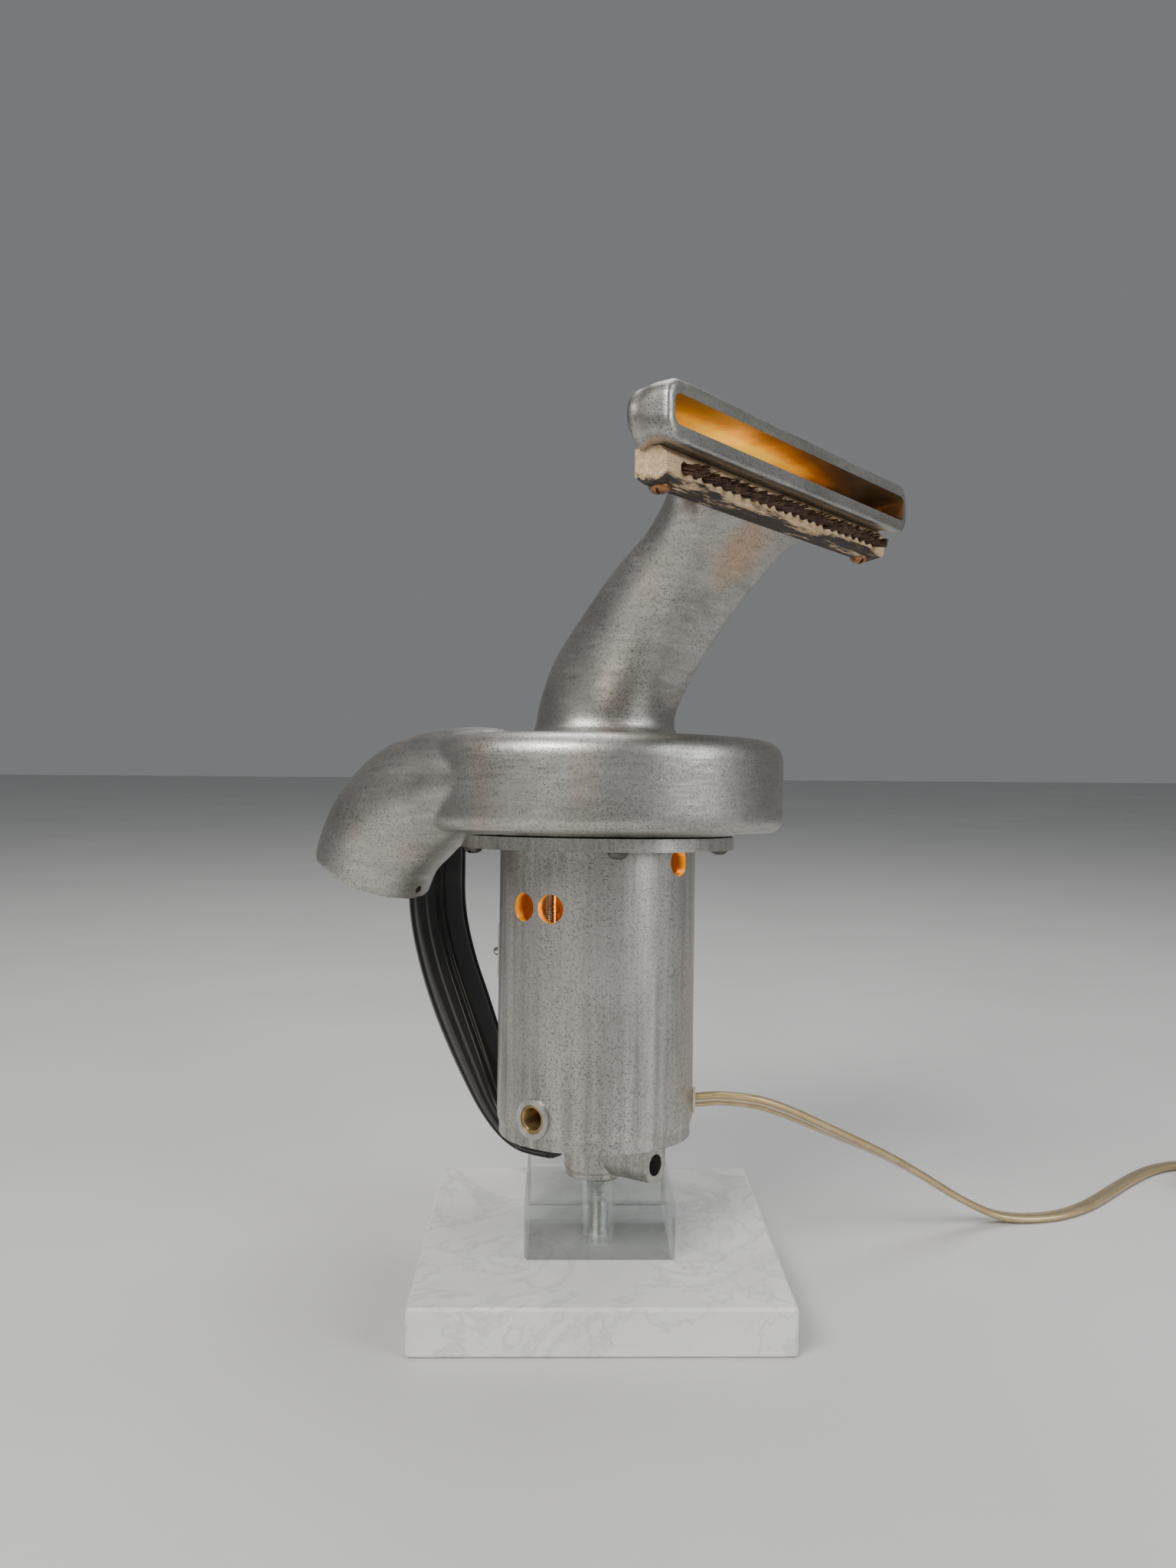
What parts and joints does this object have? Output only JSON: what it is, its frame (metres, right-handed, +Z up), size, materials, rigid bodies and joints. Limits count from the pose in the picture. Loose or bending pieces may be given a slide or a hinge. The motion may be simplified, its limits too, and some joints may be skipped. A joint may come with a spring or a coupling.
{
  "type": "table lamp",
  "caption": "Lit table lamp: an old cast aluminium hand vacuum cleaner on a glass block and a marble plate, with a glowing mouth, a brush, a black handle and a clear cord.",
  "frame": {"origin": "centre of the marble plate's underside", "axes": "+Z up, -Y towards the viewer of the reference view, +X to the viewer's right, where the cord leaves"},
  "size_m": [0.5431, 0.2594, 0.3641],
  "materials": {
    "marble": "polished, faint grey veins",
    "felt": "wool felt",
    "clear_glass": "clear, polished bevels",
    "zinc_steel": "zinc plated, dulled",
    "chrome": "polished",
    "cast_aluminium": "aged casting, pitted and brushed",
    "dark_steel": "blackened",
    "brass": "aged",
    "copper_brown": "tarnished",
    "sawn_wood": "bare, charred edge",
    "bristle": "stiff horsehair",
    "bakelite": "glossy black, fine scratches",
    "switch_brown": "phenolic",
    "nickel": "nickel plated, worn",
    "fibre": "waxed fibre",
    "black_plastic": "moulded",
    "amber_glass": "amber tint",
    "clear_stem": "clear",
    "ivory_plastic": "moulded",
    "clear_cord": "yellowed clear vinyl over copper",
    "lead_gold": "yellowed clear vinyl over copper",
    "lead_black": "vinyl",
    "filament": "glowing"
  },
  "bodies": {
    "lamp": {"marble_base": "marble", "sink_cover": "felt", "glass_block": "clear_glass", "base_rod": "zinc_steel", "base_washer": "zinc_steel", "base_nut": "zinc_steel", "seat_washer": "chrome", "inner_washer": "zinc_steel", "inner_nut": "zinc_steel", "motor_housing": "cast_aluminium", "flange_screws": "dark_steel", "fan_housing": "cast_aluminium", "port_rings": "dark_steel", "port_tubes": "brass", "motor_studs": "zinc_steel", "stud_nuts": "zinc_steel", "brush_bar": "sawn_wood", "brush_bristles": "bristle", "brush_screws": "copper_brown", "handle": "bakelite", "handle_screws": "dark_steel", "switch_plate": "nickel", "plate_screws": "nickel", "switch_body": "switch_brown", "switch_bushing": "nickel", "switch_nut": "nickel", "switch_pin": "zinc_steel", "socket_cap": "brass", "socket_shell": "brass", "socket_liner": "fibre", "socket_core": "black_plastic", "screw_shell": "brass", "bulb_base": "brass", "bulb_contact": "zinc_steel", "bulb_glass": "amber_glass", "bulb_stem": "clear_stem", "bulb_filament": "filament", "lead_neutral": "lead_gold", "lead_live": "lead_gold", "lead_switched": "lead_black", "cord_bushing": "ivory_plastic", "cord": "clear_cord", "cord_coil": "clear_cord", "cord_tie": "black_plastic", "cord_tail": "clear_cord", "plug_body": "clear_cord", "plug_blades": "brass"},
    "lever": {"switch_lever": "nickel"}
  },
  "joints": [
    {"name": "switch_toggle", "type": "hinge", "parent": "lamp", "child": "lever", "pos_m": [-0.03648, 0.03031, 0.14092], "axis": [0.6157, 0.7857, -0.0609], "range_deg": [0, 26]}
  ]
}
